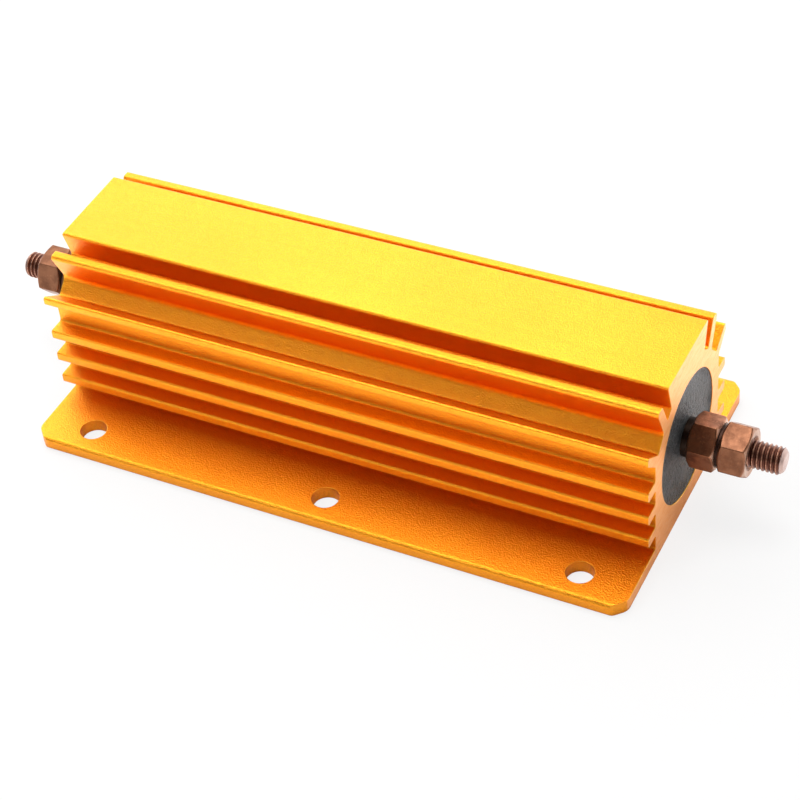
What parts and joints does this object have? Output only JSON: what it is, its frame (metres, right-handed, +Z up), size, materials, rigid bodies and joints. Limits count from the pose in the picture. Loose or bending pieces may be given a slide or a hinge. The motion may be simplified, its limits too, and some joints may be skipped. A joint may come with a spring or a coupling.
{
  "type": "aluminium housed power resistor",
  "caption": "Finned, gold anodised housing with bolt-down flanges; inside, a wirewound ceramic element set in cement, and a threaded stud terminal with nuts at each end.",
  "frame": {"origin": "centre of the flat mounting face, which is the underside of the housing", "axes": "+X along the housing from the left terminal to the right one, +Y across the flanges, +Z up from the mounting face to the marking pad"},
  "size_m": [0.1842, 0.073, 0.0418],
  "materials": {
    "gold_anodised": "satin anodised, golden orange, fine grain",
    "core_ceramic": "unglazed, matte",
    "resistance_wire": "drawn alloy wire, dull",
    "cap_steel": "pressed, satin",
    "stud_copper": "dull copper brown",
    "nut_copper": "dull copper brown",
    "washer_copper": "dark brown, dull",
    "pale_cement": "cast, matte",
    "black_cement": "cast, rough, streaked grey"
  },
  "bodies": {
    "root": {"housing": "gold_anodised", "ceramic_core": "core_ceramic", "resistance_winding": "resistance_wire", "end_cap_left": "cap_steel", "end_cap_right": "cap_steel", "terminal_stud_left": "stud_copper", "terminal_stud_right": "stud_copper", "cement_filling": "pale_cement", "end_seal_left": "black_cement", "end_seal_right": "black_cement", "inner_nut_left": "nut_copper", "inner_nut_right": "nut_copper", "washer_left": "washer_copper", "washer_right": "washer_copper", "outer_nut_left": "nut_copper", "outer_nut_right": "nut_copper"}
  },
  "joints": []
}
